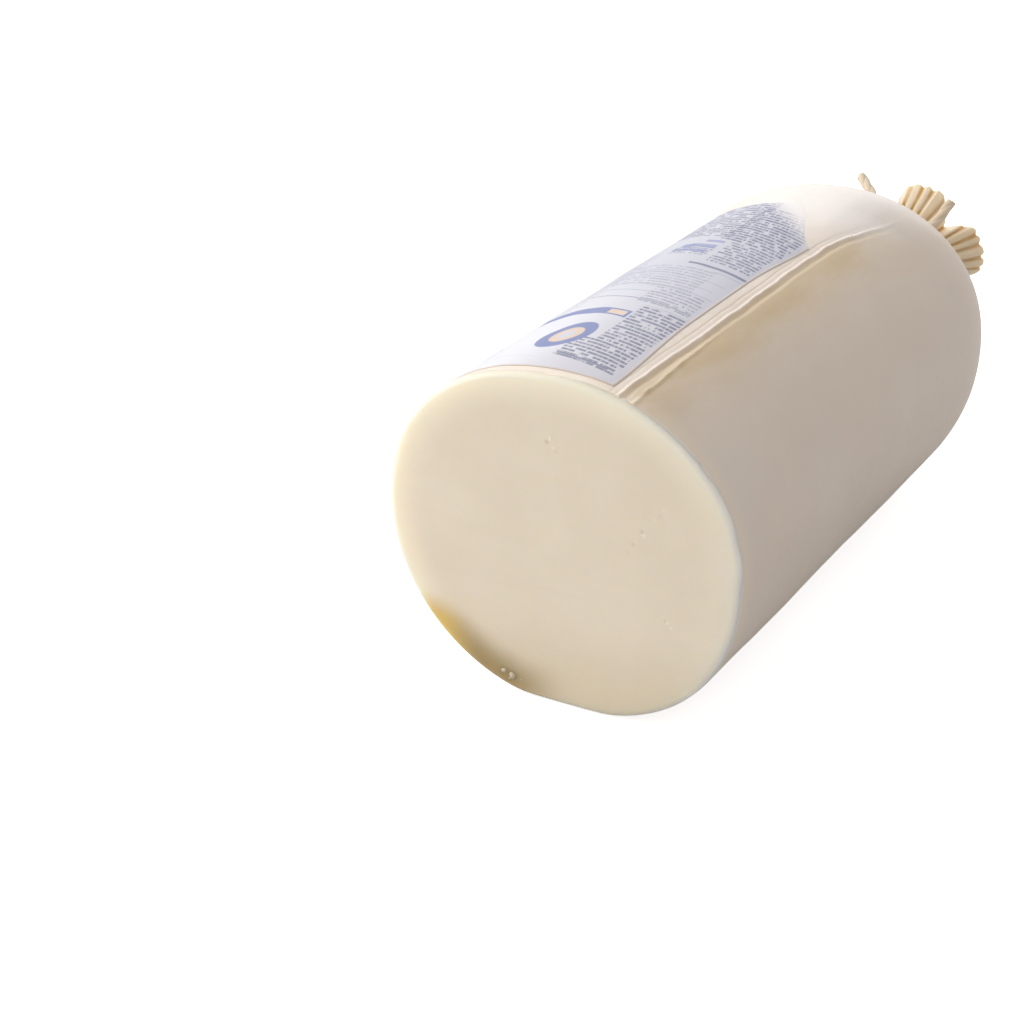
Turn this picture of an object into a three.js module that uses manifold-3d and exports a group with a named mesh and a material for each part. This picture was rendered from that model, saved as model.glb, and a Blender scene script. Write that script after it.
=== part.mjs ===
// A log of provolone cheese: a round block of pale paste, cut flat at its near end, in a film casing
// whose far end is gathered, tied with cord and left to fan out in a pleated ruffle.
// Millimetres, +Z up. The log lies along Y with its cut face towards -Y, flat on its underside.

import * as THREE from 'three';
import { mergeVertices } from 'three/addons/utils/BufferGeometryUtils.js';
import Module from 'manifold-3d';

const wasm = await Module();
wasm.setup();

// The log's cross-section at the cut: four quarter superellipses that meet at its widest line.
const halfWidth = 75;
const heightAbove = 66.4;
const heightBelow = 72.9;
const roundness = { rightTop: 2.01, leftTop: 2.22, leftBottom: 1.98, rightBottom: 2.25 };
const settle = 1.7;                 // how far the underside is pressed flat

// The log along its length.
const straightLength = 239;
const domeDepth = 60;
const domeRoundness = 2.57;
const domeLift = 5.5;
const taper = 0.062;                // the far end is this much slimmer than the cut
const logLength = straightLength + domeDepth;

// The film casing and its lengthwise seam.
const wall = 0.8;
const clearance = 0.3;
const seam = { offset: 21.5, halfWidth: 5, height: 1.8, drift: 10, driftFrom: 160, fadeFrom: 205 };

// The label along the top of the casing. Its far edge slants, longest towards the left.
const label = {
  rightEdge: 76, leftEdge: 162, from: 7, toRight: 188, toLeft: 236, slantOver: 0.3, thickness: 0.3,
};

// The gathered end: a neck, then a ruffle of pleats that swells in a few lobes.
const rootRadius = 16;
const rootDepth = -0.7;             // the gathers start inside the dome's wall
const neckRadius = 8.5;
const neckFrom = 5;
const neckTo = 19;
const pleatCount = 36;
const pointsPerPleat = 4;
const lobeCount = 5;
const lobeTurn = 15;
const cleftDepth = 0.34;            // how far the clefts between the lobes reach in, as a share
const ruffleRadius = 35;
const ruffleDepth = 47;
const ruffleLean = { x: 2.5, z: -1 };
const ruffleDish = 6;               // how far its crushed middle lies inside the rim
const rimRise = 3;
const rimSlope = 40;                // degrees that the ruffle's face leans back from the axis
const rimPleat = 1.8;
const neckPleat = 0.4;

// The cord that ties the neck.
const cordDiameter = 4.8;
const cordPitch = 5;
const cordTurns = 2;
const stepsPerTurn = 14;
const knotAngle = 82;
const knotSize = [5.6, 7.2, 5];

const sides = 60;
const domeSteps = 10;
const degrees = Math.PI / 180;
const axisHeight = sectionScale(logLength) * (heightBelow - settle) + domeLift;

// ---- shapes shared by the pieces -------------------------------------------------------------------

function smoothStep(from, to, value) {
  const t = Math.min(1, Math.max(0, (value - from) / (to - from)));
  return t * t * (3 - 2 * t);
}

function sectionScale(y) {
  return 1 - (taper * Math.min(y, logLength)) / logLength;
}

function superellipse(angle, across, up, power) {
  const c = Math.abs(Math.cos(angle)) / across;
  const s = Math.abs(Math.sin(angle)) / up;
  return (c ** power + s ** power) ** (-1 / power);
}

// A point of the cross-section, from its widest line, drawn in from the outside by an inset.
function sectionPoint(angle, inset) {
  const right = Math.cos(angle) >= 0;
  const above = Math.sin(angle) >= 0;
  const topPower = right ? roundness.rightTop : roundness.leftTop;
  const bottomPower = right ? roundness.rightBottom : roundness.leftBottom;
  const height = (above ? heightAbove : heightBelow) - inset;
  const reach = superellipse(angle, halfWidth - inset, height, above ? topPower : bottomPower);
  const floor = settle + inset - heightBelow;
  return { x: reach * Math.cos(angle), z: Math.max(reach * Math.sin(angle), floor) };
}

// Where the seam's crest stands across the log, and how far it rises beside that.
function seamHeight(x, z, y) {
  const crest = seam.offset + seam.drift * smoothStep(seam.driftFrom, straightLength, y);
  const beside = Math.abs(x - crest) / seam.halfWidth;
  if (z < 0 || beside >= 1) return 0;
  const fade = 1 - smoothStep(seam.fadeFrom, logLength - domeDepth / 2, y);
  return seam.height * fade * (0.5 + 0.5 * Math.cos(Math.PI * beside));
}

// One ring of the log's surface. Past the straight length the dome shrinks it.
function logRing(y, inset, angles, withSeam) {
  const scale = sectionScale(y);
  const rise = Math.max(0, (y - straightLength) / (domeDepth - inset));
  const shrink = (1 - Math.min(1, rise) ** domeRoundness) ** (1 / domeRoundness);
  const middle = scale * (heightBelow - settle) + domeLift * rise;
  return angles.map((angle) => {
    const point = sectionPoint(angle, inset);
    const bump = withSeam ? seamHeight(point.x, point.z, y) : 0;
    const swell = 1 + bump / Math.hypot(point.x, point.z);
    return new THREE.Vector3(scale * shrink * swell * point.x, y, middle + scale * shrink * swell * point.z);
  });
}

function evenAngles(count) {
  return Array.from({ length: count }, (_, i) => (2 * Math.PI * i) / count);
}

// Rings of equal count become one closed body, shut at both ends by a point.
function loft(start, rings, end) {
  const count = rings[0].length;
  const points = [start, ...rings.flat(), end];
  const last = points.length - 1;
  const at = (ring, i) => 1 + ring * count + (i % count);
  const index = [];
  for (let i = 0; i < count; i++) {
    index.push(0, at(0, i), at(0, i + 1));
    index.push(last, at(rings.length - 1, i + 1), at(rings.length - 1, i));
    for (let ring = 0; ring + 1 < rings.length; ring++) {
      index.push(at(ring, i), at(ring + 1, i), at(ring + 1, i + 1));
      index.push(at(ring, i), at(ring + 1, i + 1), at(ring, i + 1));
    }
  }
  const geometry = new THREE.BufferGeometry().setFromPoints(points);
  geometry.setIndex(index);
  return geometry;
}

function toSolid(geometry) {
  geometry.deleteAttribute('normal');
  geometry.deleteAttribute('uv');
  const merged = mergeVertices(geometry, 1e-4);
  const vertProperties = new Float32Array(merged.attributes.position.array);
  const triVerts = new Uint32Array(merged.index.array);
  return new wasm.Manifold(new wasm.Mesh({ numProp: 3, vertProperties, triVerts }));
}

function toGeometry(solid) {
  const mesh = solid.getMesh();
  const geometry = new THREE.BufferGeometry();
  geometry.setAttribute('position', new THREE.BufferAttribute(mesh.vertProperties, 3));
  geometry.setIndex(new THREE.BufferAttribute(mesh.triVerts, 1));
  return geometry;
}

// ---- the log ---------------------------------------------------------------------------------------

// The closed body inside an inset, from a first station to the crown of the dome.
function logBody(inset, stations, angles, withSeam) {
  const depth = domeDepth - inset;
  const dome = Array.from({ length: domeSteps - 1 }, (_, i) => {
    return straightLength + depth * Math.sin(((i + 1) * Math.PI) / (2 * domeSteps));
  });
  const rings = [...stations, ...dome].map((y) => logRing(y, inset, angles, withSeam));
  const start = new THREE.Vector3(0, stations[0], heightBelow / 2);
  const crown = new THREE.Vector3(0, straightLength + depth, axisHeight);
  return loft(start, rings, crown);
}

function cheese() {
  return logBody(wall + clearance, [0, straightLength], evenAngles(sides), false);
}

// Even angles, with closer ones where the seam rises and drifts.
function seamAngles() {
  const crest = Math.acos(seam.offset / heightAbove);
  const fine = Array.from({ length: 11 }, (_, i) => crest + (3 - i) * 2 * degrees);
  const low = Math.min(...fine) - degrees;
  const high = Math.max(...fine) + degrees;
  const coarse = evenAngles(sides).filter((angle) => angle < low || angle > high);
  return [...coarse, ...fine].sort((a, b) => a - b);
}

function casing() {
  const stations = [0, seam.driftFrom, 180, 200, 220, straightLength];
  const outside = toSolid(logBody(0, stations, seamAngles(), true));
  const cavity = toSolid(logBody(wall, [-1, straightLength], evenAngles(sides), false));
  return toGeometry(outside.subtract(cavity).add(toSolid(gatheredEnd())));
}

// A thin sheet bent over the casing, open space of one clearance below it.
function labelSheet() {
  const across = 20;
  const along = [0, 1 / 3, 2 / 3, 1];
  const columns = Array.from({ length: across + 1 }, (_, i) => {
    const share = i / across;
    const slant = Math.min(1, share / label.slantOver);
    return {
      angle: (label.rightEdge + (label.leftEdge - label.rightEdge) * share) * degrees,
      length: label.toRight + (label.toLeft - label.toRight) * slant - label.from,
    };
  });
  const row = (share, inset) => columns.map((column) => {
    return logRing(label.from + column.length * share, inset, [column.angle], false)[0];
  });
  const outlines = along.map((share) => {
    return [...row(share, -clearance - label.thickness), ...row(share, -clearance).reverse()];
  });
  return strip(outlines, across + 1);
}

// Closed outlines made of an upper and a lower row of points, joined lengthwise and shut flat.
function strip(outlines, half) {
  const count = outlines[0].length;
  const at = (row, i) => row * count + (i % count);
  const index = [];
  for (let row = 0; row + 1 < outlines.length; row++) {
    for (let i = 0; i < count; i++) {
      index.push(at(row, i), at(row + 1, i), at(row + 1, i + 1));
      index.push(at(row, i), at(row + 1, i + 1), at(row, i + 1));
    }
  }
  const end = outlines.length - 1;
  for (let i = 0; i + 1 < half; i++) {
    const across = count - 1 - i;
    index.push(at(0, i), at(0, i + 1), at(0, across - 1));
    index.push(at(0, i), at(0, across - 1), at(0, across));
    index.push(at(end, i + 1), at(end, i), at(end, across));
    index.push(at(end, i + 1), at(end, across), at(end, across - 1));
  }
  const geometry = new THREE.BufferGeometry().setFromPoints(outlines.flat());
  geometry.setIndex(index);
  return geometry;
}

// ---- the gathered end ------------------------------------------------------------------------------

// One ring of the gathered film: its place past the dome, outer radius, pleat depth and slope.
function gatherRing(past, radius, depth, slope) {
  const spread = smoothStep(neckRadius, ruffleRadius, radius);
  return evenAngles(pleatCount * pointsPerPleat).map((angle) => {
    const cleft = (0.5 - 0.5 * Math.cos(lobeCount * (angle - lobeTurn * degrees))) ** 3;
    const fold = depth * Math.cos(pleatCount * angle);
    const reach = radius * (1 - cleftDepth * spread * cleft) + fold * Math.cos(slope * degrees);
    const x = reach * Math.cos(angle) + ruffleLean.x * spread;
    const y = logLength + past - fold * Math.sin(slope * degrees);
    const z = axisHeight + reach * Math.sin(angle) + ruffleLean.z * spread;
    return new THREE.Vector3(x, y, z);
  });
}

// The film goes up the neck, out along the ruffle, over its rim and across its crushed middle.
function gatheredEnd() {
  const flare = (t) => neckRadius + (ruffleRadius - neckRadius) * t ** 1.4;
  const outerLength = ruffleDepth - rimRise - neckTo;
  const outer = [0.12, 0.4, 0.7, 1].map((t) => {
    return gatherRing(neckTo + outerLength * t, flare(t), neckPleat + (rimPleat - neckPleat) * t, rimSlope);
  });
  const inner = [0.66, 0.33].map((t) => {
    return gatherRing(ruffleDepth - ruffleDish * (1 - t), ruffleRadius * t, rimPleat * t, rimSlope);
  });
  const rings = [
    gatherRing(rootDepth, rootRadius, 0, 0),
    gatherRing(1.5, 11.5, 0.3, 0),
    gatherRing(neckFrom, neckRadius - neckPleat, neckPleat, 0),
    gatherRing(neckTo - 1, neckRadius - neckPleat, neckPleat, 0),
    ...outer,
    gatherRing(ruffleDepth, ruffleRadius - 0.8, rimPleat, rimSlope),
    ...inner,
  ];
  const start = new THREE.Vector3(0, logLength + rootDepth, axisHeight);
  const end = new THREE.Vector3(0, logLength + ruffleDepth - ruffleDish, axisHeight);
  return loft(start, rings, end);
}

// ---- the tie ---------------------------------------------------------------------------------------

function onNeck(past, radius, angle) {
  const x = radius * Math.cos(angle * degrees);
  const z = axisHeight + radius * Math.sin(angle * degrees);
  return new THREE.Vector3(x, logLength + past, z);
}

function cordAlong(points, steps) {
  const section = new THREE.Shape();
  section.absarc(0, 0, cordDiameter / 2, 0, 2 * Math.PI);
  const extrudePath = new THREE.CatmullRomCurve3(points);
  return toSolid(new THREE.ExtrudeGeometry(section, { steps, curveSegments: 4, extrudePath }));
}

function tieCord() {
  const wrapRadius = neckRadius + clearance + cordDiameter / 2;
  const middle = (neckFrom + neckTo) / 2;
  const turns = Array.from({ length: cordTurns * stepsPerTurn + 1 }, (_, i) => {
    const past = middle + cordPitch * (i / stepsPerTurn - cordTurns / 2);
    return onNeck(past, wrapRadius, knotAngle + (360 * i) / stepsPerTurn);
  });
  const knot = new THREE.SphereGeometry(1, 16, 10);
  knot.scale(...knotSize);
  knot.translate(...onNeck(middle, neckRadius + clearance + knotSize[2], knotAngle));
  const leftTail = [onNeck(middle, 14, 84), onNeck(20, 22, 97), onNeck(33, 32, 115), onNeck(45, 42.3, 126.5)];
  const rightTail = [onNeck(middle, 14, 80), onNeck(22, 19, 62), onNeck(33, 27, 52), onNeck(41, 38, 55)];
  return toGeometry(
    cordAlong(turns, turns.length - 1)
      .add(toSolid(knot))
      .add(cordAlong(leftTail, 10))
      .add(cordAlong(rightTail, 10)),
  );
}

// ---- the model -------------------------------------------------------------------------------------

function part(name, geometry, color, roughness) {
  const mesh = new THREE.Mesh(geometry, new THREE.MeshStandardMaterial({ color, roughness, metalness: 0 }));
  mesh.name = name;
  return mesh;
}

const group = new THREE.Group();
group.add(part('cheese', cheese(), 0xf0e6c8, 0.55));
group.add(part('casing', casing(), 0xe4d8c0, 0.35));
group.add(part('label', labelSheet(), 0xe9e9f2, 0.4));
group.add(part('tie_cord', tieCord(), 0xe6d2b0, 0.85));

// The origin is the middle of the underside's box.
const box = new THREE.Box3().setFromObject(group);
group.position.set(-(box.min.x + box.max.x) / 2, -(box.min.y + box.max.y) / 2, -box.min.z);

export default group;
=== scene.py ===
import math

import bpy
import numpy as np
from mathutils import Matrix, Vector


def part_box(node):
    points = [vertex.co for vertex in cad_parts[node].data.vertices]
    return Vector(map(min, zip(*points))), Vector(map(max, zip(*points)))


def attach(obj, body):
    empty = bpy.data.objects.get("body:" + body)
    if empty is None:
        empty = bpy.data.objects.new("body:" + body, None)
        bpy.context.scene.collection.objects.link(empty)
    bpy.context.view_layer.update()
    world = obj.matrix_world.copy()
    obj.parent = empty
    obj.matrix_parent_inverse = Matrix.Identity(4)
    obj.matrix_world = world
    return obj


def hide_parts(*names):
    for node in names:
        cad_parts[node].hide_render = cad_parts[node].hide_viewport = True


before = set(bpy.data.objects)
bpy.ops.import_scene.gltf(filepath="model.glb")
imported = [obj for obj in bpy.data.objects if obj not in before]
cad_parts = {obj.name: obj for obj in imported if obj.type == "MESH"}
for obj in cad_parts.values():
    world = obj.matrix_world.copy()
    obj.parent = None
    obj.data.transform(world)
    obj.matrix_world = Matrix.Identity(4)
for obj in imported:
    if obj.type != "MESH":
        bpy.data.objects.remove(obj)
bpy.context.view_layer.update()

# Everything is in metres. The log lies along +Y and its cut face looks towards -Y.
mm = 0.001
tau = 2 * math.pi
casingLow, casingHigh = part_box("casing")
cutY = casingLow.y

logShape = {
    "halfWidth": (casingHigh.x - casingLow.x) / 2,
    "above": 66.4 * mm,
    "below": 72.9 * mm,
    "settle": 1.7 * mm,                   # the underside is pressed this much flat
    "footSoftness": 1.1 * mm,
    "powers": (2.01, 2.22, 1.98, 2.25),   # right top, left top, left bottom, right bottom
    "straight": 239 * mm,
    "dome": 60 * mm,
    "domePower": 2.57,
    "domeLift": 5.5 * mm,
    "taper": 0.062,
}
logLength = logShape["straight"] + logShape["dome"]
axisZ = (1 - logShape["taper"]) * (logShape["below"] - logShape["settle"]) + logShape["domeLift"]
crownY = cutY + logLength


# small tools for meshes
def smoothStep(low, high, value):
    t = np.clip((np.asarray(value, float) - low) / (high - low), 0, 1)
    return t * t * (3 - 2 * t)


def hump(value, middle, width):
    return np.exp(-((value - middle) / width) ** 2)


def softNoise(x, y, seed, terms=9):
    # smooth noise of sine waves in random directions, about -1 to 1
    rng = np.random.default_rng(seed)
    total = np.zeros(np.broadcast(x, y).shape)
    for _ in range(terms):
        turn, pace, start = rng.uniform(0, tau), rng.uniform(0.5, 1.5), rng.uniform(0, tau)
        total = total + np.sin(pace * tau * (x * math.cos(turn) + y * math.sin(turn)) + start)
    return total / math.sqrt(terms)


def smoothPath(points, steps):
    # Catmull-Rom curve through a few points
    points = np.asarray(points, float)
    padded = np.vstack([2 * points[0] - points[1], points, 2 * points[-1] - points[-2]])
    result = []
    for i in range(len(points) - 1):
        a, b, c, d = padded[i:i + 4]
        for t in np.linspace(0, 1, steps, endpoint=False):
            result.append(0.5 * (2 * b + (c - a) * t + (2 * a - 5 * b + 4 * c - d) * t ** 2
                                 + (3 * b - a - 3 * c + d) * t ** 3))
    result.append(points[-1])
    return np.array(result)


def addObject(name, data):
    piece = bpy.data.objects.new(name, data)
    bpy.context.scene.collection.objects.link(piece)
    return piece


def skinMesh(name, rings, firstPoint, lastPoint):
    # rings of one count become a closed skin, shut by a point at each end
    rings = np.asarray(rings, float)
    rows, count = rings.shape[:2]
    points = np.vstack([rings.reshape(-1, 3), [firstPoint, lastPoint]])
    faces = []
    for row in range(rows - 1):
        a, b = row * count, (row + 1) * count
        for i in range(count):
            j = (i + 1) % count
            faces.append((a + i, b + i, b + j, a + j))
    first, last, base = rows * count, rows * count + 1, (rows - 1) * count
    for i in range(count):
        j = (i + 1) % count
        faces += [(first, i, j), (last, base + j, base + i)]
    mesh = bpy.data.meshes.new(name)
    mesh.from_pydata(points.tolist(), [], faces)
    mesh.shade_smooth()
    return addObject(name, mesh)


def storeValues(piece, name, values, kind="FLOAT"):
    # per-point values; the last points of the mesh, which shut its ends, keep zero
    width = 3 if kind == "FLOAT_VECTOR" else 1
    attribute = piece.data.attributes.new(name, kind, "POINT")
    flat = np.zeros(len(piece.data.vertices) * width, np.float32)
    values = np.asarray(values, np.float32).ravel()
    flat[:len(values)] = values
    attribute.data.foreach_set("vector" if width == 3 else "value", flat)


def finishPiece(piece, node, material):
    piece.data.materials.clear()
    piece.data.materials.append(material)
    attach(piece, "root")
    if node:
        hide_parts(node)


# small tools for node trees
def feed(tree, socket, value):
    if isinstance(value, bpy.types.NodeSocket):
        tree.links.new(value, socket)
    elif value is not None:
        socket.default_value = value


def feedAll(tree, sockets, values):
    for name, value in values.items():
        feed(tree, sockets[name], value)


def newNode(tree, kind, values):
    # a node whose inputs take the values, by name or by number
    node = tree.nodes.new(kind)
    feedAll(tree, node.inputs, values)
    return node


def calc(tree, operation, a, b=None, clamp=False):
    node = newNode(tree, "ShaderNodeMath", {0: a, 1: b})
    node.operation = operation
    node.use_clamp = clamp
    return node.outputs[0]


def plus(tree, a, b):
    return calc(tree, "ADD", a, b)


def minus(tree, a, b):
    return calc(tree, "SUBTRACT", a, b)


def times(tree, a, b, clamp=False):
    return calc(tree, "MULTIPLY", a, b, clamp=clamp)


def between(tree, value, low, high):
    return times(tree, calc(tree, "GREATER_THAN", value, low), calc(tree, "LESS_THAN", value, high))


def calcVector(tree, operation, a, b=None, scale=None):
    node = tree.nodes.new("ShaderNodeVectorMath")
    node.operation = operation
    feed(tree, node.inputs[0], a)
    feed(tree, node.inputs[1], b)
    if scale is not None:
        feed(tree, node.inputs["Scale"], scale)
    return node.outputs["Value" if operation == "LENGTH" else "Vector"]


def joinXyz(tree, x=0.0, y=0.0, z=0.0):
    return newNode(tree, "ShaderNodeCombineXYZ", {0: x, 1: y, 2: z}).outputs[0]


def splitXyz(tree, vector):
    return newNode(tree, "ShaderNodeSeparateXYZ", {0: vector}).outputs


def ramp(tree, value, fromLow, fromHigh, toLow=0.0, toHigh=1.0, soft=True):
    node = newNode(tree, "ShaderNodeMapRange", {
        "Value": value, "From Min": fromLow, "From Max": fromHigh, "To Min": toLow, "To Max": toHigh})
    node.interpolation_type = "SMOOTHSTEP" if soft else "LINEAR"
    return node.outputs["Result"]


def noiseField(tree, vector, scale, detail=2.0, roughness=0.5, distortion=0.0):
    return newNode(tree, "ShaderNodeTexNoise", {
        "Vector": vector, "Scale": scale, "Detail": detail, "Roughness": roughness,
        "Distortion": distortion}).outputs[0]


def blend(tree, factor, first, second):
    node = tree.nodes.new("ShaderNodeMix")
    node.data_type = "RGBA"
    feed(tree, node.inputs[0], factor)
    for socket, value in ((node.inputs[6], first), (node.inputs[7], second)):
        feed(tree, socket, (*value, 1) if isinstance(value, tuple) and len(value) == 3 else value)
    return node.outputs[2]


def newGroup(name, kind, inputs, outputs):
    tree = bpy.data.node_groups.new(name, kind)
    for title, kindOf, value in inputs:
        socket = tree.interface.new_socket(title, in_out="INPUT", socket_type="NodeSocket" + kindOf)
        if value is not None:
            socket.default_value = value
    for title, kindOf in outputs:
        tree.interface.new_socket(title, in_out="OUTPUT", socket_type="NodeSocket" + kindOf)
    return tree, tree.nodes.new("NodeGroupInput").outputs, tree.nodes.new("NodeGroupOutput").inputs


def newShaping(name, inputs):
    # a group that turns one shape into another, in a material of its own
    return newGroup(name, "GeometryNodeTree",
                    [("Geometry", "Geometry", None), *inputs, ("Material", "Material", None)],
                    [("Geometry", "Geometry")])


def placeGroup(tree, group, values):
    node = tree.nodes.new("ShaderNodeGroup")
    node.node_tree = group
    feedAll(tree, node.inputs, values)
    return node.outputs


def readField(tree, name, kind="FLOAT"):
    node = tree.nodes.new("GeometryNodeInputNamedAttribute")
    node.data_type = kind
    node.inputs["Name"].default_value = name
    return node.outputs["Attribute"]


def readMask(tree, name, vector=False):
    node = tree.nodes.new("ShaderNodeAttribute")
    node.attribute_name = name
    return node.outputs["Vector" if vector else "Fac"]


def newMaterial(name, roughness, specular=0.5):
    material = bpy.data.materials.new(name)
    material.use_nodes = True
    tree = material.node_tree
    shader = tree.nodes["Principled BSDF"]
    shader.inputs["Roughness"].default_value = roughness
    shader.inputs["Specular IOR Level"].default_value = specular
    place = tree.nodes.new("ShaderNodeTexCoord").outputs["Object"]
    return material, tree, shader.inputs, place


def runNodes(piece, tree, values):
    # the tree's result becomes the piece's plain mesh
    modifier = piece.modifiers.new(tree.name, "NODES")
    modifier.node_group = tree
    for item in tree.interface.items_tree:
        if item.item_type == "SOCKET" and item.in_out == "INPUT" and item.name in values:
            modifier[item.identifier] = values[item.name]
    graph = bpy.context.evaluated_depsgraph_get()
    mesh = bpy.data.meshes.new_from_object(piece.evaluated_get(graph), depsgraph=graph)
    name, source = piece.name, piece.data
    bpy.data.objects.remove(piece)
    (bpy.data.meshes if isinstance(source, bpy.types.Mesh) else bpy.data.curves).remove(source)
    mesh.name = name
    return addObject(name, mesh)


# camera, floor and light
viewSetup = {
    "fromCut": (0.4278, -0.7886, 0.5272),   # the camera's place from the foot of the cut face
    "tilt": 26.34,
    "turn": 29.61,
    "lens": 94.15,
}
floorSetup = {"half": 7.0, "below": 0.3 * mm, "grey": 0.72, "shownLift": 0.75}
softboxes = {
    "keyLeft": {"place": (-1.4, -0.75, 0.75), "size": (1.3, 1.1), "power": 17.5,
                "colour": (1, 0.985, 0.965)},
    "backTop": {"place": (-0.7, 0.95, 1.05), "size": (1.2, 0.9), "power": 6.8, "colour": (1, 1, 1)},
    "backLow": {"place": (-1.25, 1.75, 0.5), "size": (3.0, 1.0), "power": 11, "colour": (1, 1, 1)},
    "frontLow": {"place": (-0.25, -1.9, 0.6), "size": (1.6, 0.9), "power": 1.5, "colour": (1, 0.99, 0.97)},
}
lightsAim = (0, -0.03, 0.07)
worldSetup = {"fill": 0.62, "shown": 1.0}


def makeCamera():
    data = bpy.data.cameras.new("camera")
    data.lens = viewSetup["lens"]
    camera = addObject("camera", data)
    camera.location = Vector((0, cutY, 0)) + Vector(viewSetup["fromCut"])
    camera.rotation_euler = (math.radians(90 - viewSetup["tilt"]), 0, math.radians(viewSetup["turn"]))
    bpy.context.scene.camera = camera


def makeFloor():
    half, z = floorSetup["half"], -floorSetup["below"]
    mesh = bpy.data.meshes.new("floor")
    corners = [(-half, -half, z), (half, -half, z), (half, half, z), (-half, half, z)]
    mesh.from_pydata(corners, [], [(0, 1, 2, 3)])
    floor = addObject("floor", mesh)
    material, tree, shader, _ = newMaterial("floorPaper", 0.9)
    shader["Base Color"].default_value = (floorSetup["grey"],) * 3 + (1,)
    shader["Emission Color"].default_value = (1, 1, 1, 1)
    path = tree.nodes.new("ShaderNodeLightPath").outputs["Is Camera Ray"]
    feed(tree, shader["Emission Strength"], times(tree, path, floorSetup["shownLift"]))
    mesh.materials.append(material)


def makeLights():
    for name, setup in softboxes.items():
        data = bpy.data.lights.new(name, "AREA")
        data.shape = "RECTANGLE"
        data.size, data.size_y = setup["size"]
        data.energy = setup["power"]
        data.color = setup["colour"]
        light = addObject(name, data)
        light.location = setup["place"]
        light.rotation_euler = (Vector(lightsAim) - light.location).to_track_quat("-Z", "Y").to_euler()
    world = bpy.data.worlds.new("studio")
    world.use_nodes = True
    tree = world.node_tree
    path = tree.nodes.new("ShaderNodeLightPath").outputs["Is Camera Ray"]
    background = tree.nodes["Background"].inputs
    strength = ramp(tree, path, 0.0, 1.0, worldSetup["fill"], worldSetup["shown"], False)
    feed(tree, background["Strength"], strength)
    background["Color"].default_value = (1, 1, 1, 1)
    bpy.context.scene.world = world
    bpy.context.scene.view_settings.view_transform = "Standard"


makeCamera()
makeFloor()
makeLights()
print("stage: camera, floor and lights")


# the log's own shape
def sectionPoints(angles, inset=0.0):
    # the cross-section at the cut, from its widest line
    cosine, sine = np.cos(angles), np.sin(angles)
    first, second, third, fourth = logShape["powers"]
    power = np.where(sine >= 0, np.where(cosine >= 0, first, second), np.where(cosine < 0, third, fourth))
    height = np.where(sine >= 0, logShape["above"], logShape["below"]) - inset
    across = logShape["halfWidth"] - inset
    reach = (np.abs(cosine / across) ** power + np.abs(sine / height) ** power) ** (-1 / power)
    floorLevel = logShape["settle"] + inset - logShape["below"]
    over = reach * sine - floorLevel
    return reach * cosine, floorLevel + (over + np.sqrt(over ** 2 + logShape["footSoftness"] ** 2)) / 2


def logRing(past, angles, inset=0.0, lift=0.0):
    # one ring of the log, past metres behind the cut; lift moves it outwards
    scale = 1 - logShape["taper"] * np.minimum(past, logLength) / logLength
    rise = np.clip((past - logShape["straight"]) / (logShape["dome"] - inset), 0, 1)
    shrink = (1 - rise ** logShape["domePower"]) ** (1 / logShape["domePower"])
    x, z = sectionPoints(angles, inset)
    grow = scale * shrink * (1 + lift / np.hypot(x, z))
    middle = scale * (logShape["below"] - logShape["settle"]) + logShape["domeLift"] * rise
    return np.stack([grow * x, cutY + past + 0 * x, middle + grow * z], axis=1)


# the film casing, with its seam and its gathered end
film = {
    "wall": 0.8 * mm,
    "waves": 0.14 * mm,
    "ripples": 0.05 * mm,
    "ringStep": 2.4,                      # millimetres between rings along the straight
    "pleats": {"Pleats": 38.0, "Depth": 2.6 * mm, "Unevenness": 0.7, "Scallop": 1.8 * mm, "Seed": 3.0},
}
seam = {
    "offset": 22.4 * mm,
    "drift": 12 * mm,
    "driftOver": (185 * mm, 265 * mm),
    "fadeOver": (205 * mm, 256 * mm),
    "height": 0.70 * mm,
    "leftFlank": 1.45 * mm,
    "rightFlank": 1.5 * mm,
    "groovePlace": 2.3 * mm,
    "grooveWidth": 1.1 * mm,
    "grooveDepth": 0.25 * mm,
    "foldPlace": (6.0 * mm, 2.6 * mm),    # the second fold runs into the crest from its right
    "foldOver": 105 * mm,
    "foldWidth": 0.9 * mm,
    "foldHeight": 0.45 * mm,
    "edgePlace": -3.6 * mm,               # the film's hidden edge, left of the crest
    "edgeWidth": 0.4 * mm,
    "edgeStep": 0.1 * mm,
    "wander": (0.3 * mm, 0.16 * mm),      # slow and quick
    "notches": 22,
    "seed": 7,
    "closeBeside": (15, 4.5),             # degrees left and right of the crest where rings are finer
    "steps": (1.3, 0.28),                 # degrees between points, plain and fine
}
gather = {
    "lobes": (19, 80, 152, 226, 300),     # where each lobe of the ruffle stands, in degrees
    "cleft": 0.34,
    "lean": (2.5 * mm, -1.0 * mm),
    "neck": 8.2 * mm,
    "rim": 35.5 * mm,
    "ends": (-0.5 * mm, 41 * mm),         # where the skin closes, inside the crown and in the crushed back
}
# the film from the dome down to the neck, out along the ruffle, over its rim and across its crushed back:
# millimetres past the crown, millimetres from the axis, and how deep its pleats are there
filmRoute = [
    (-0.9, 20, 0.10), (0.3, 15, 0.25), (2.4, 10.8, 0.42), (5.5, 8.4, 0.42), (12, 7.8, 0.3), (18, 8.2, 0.4),
    (21.5, 10.2, 0.5), (27, 16, 0.75), (34, 24, 0.95), (41, 31.2, 1.0), (45, 34.6, 1.0), (46.8, 35.4, 1.0),
    (46.6, 34.2, 1.0), (45.2, 29.5, 1.0), (43.4, 23.5, 0.9), (42.0, 16, 0.75), (41.2, 9, 0.5),
    (41.0, 3.5, 0.2),
]


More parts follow.
